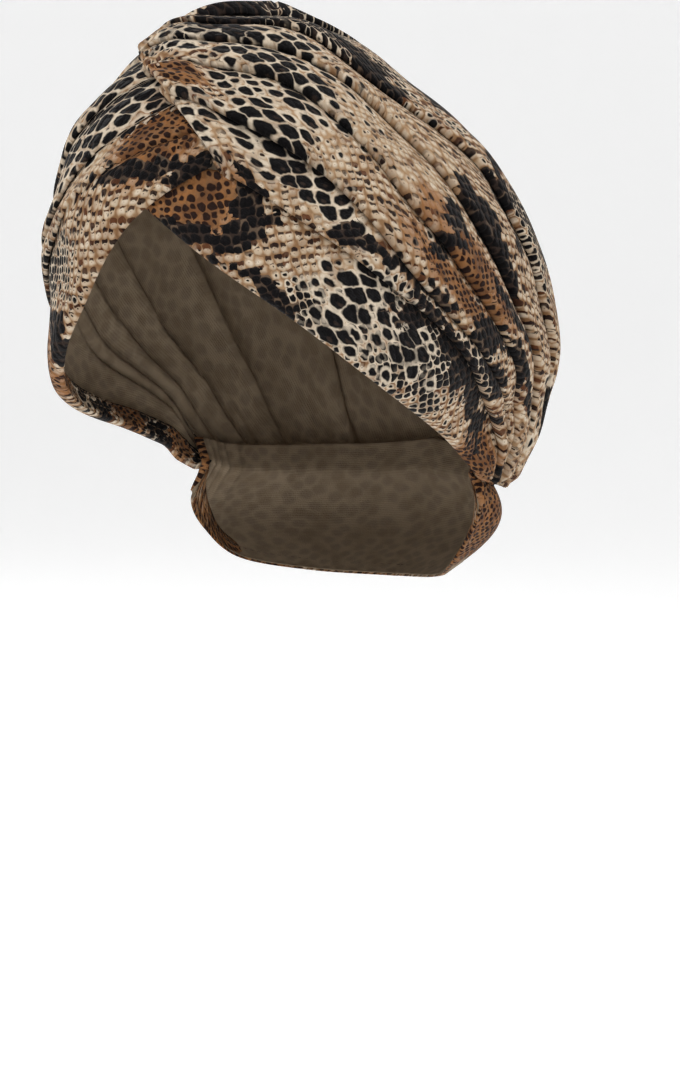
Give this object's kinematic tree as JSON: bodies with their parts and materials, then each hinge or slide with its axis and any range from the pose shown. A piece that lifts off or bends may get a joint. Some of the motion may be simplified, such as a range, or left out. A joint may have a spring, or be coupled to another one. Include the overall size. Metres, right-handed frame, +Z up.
{
  "type": "chemo cap",
  "caption": "Soft stretch-jersey head wrap with a twist crossing over the forehead, pleats swept back to gathers behind the ears and a band at the nape, printed like snakeskin.",
  "frame": {"origin": "inside of the crown over the middle of the head, where the top of the head bears", "axes": "+Z up, the wearer faces -Y, the wearer's left is +X"},
  "size_m": [0.1508, 0.2041, 0.1938],
  "materials": {
    "jersey": "matt knitted jersey with a printed snakeskin pattern"
  },
  "bodies": {
    "root": {"left_wrap": "jersey", "right_wrap": "jersey", "nape_band": "jersey"}
  },
  "joints": []
}
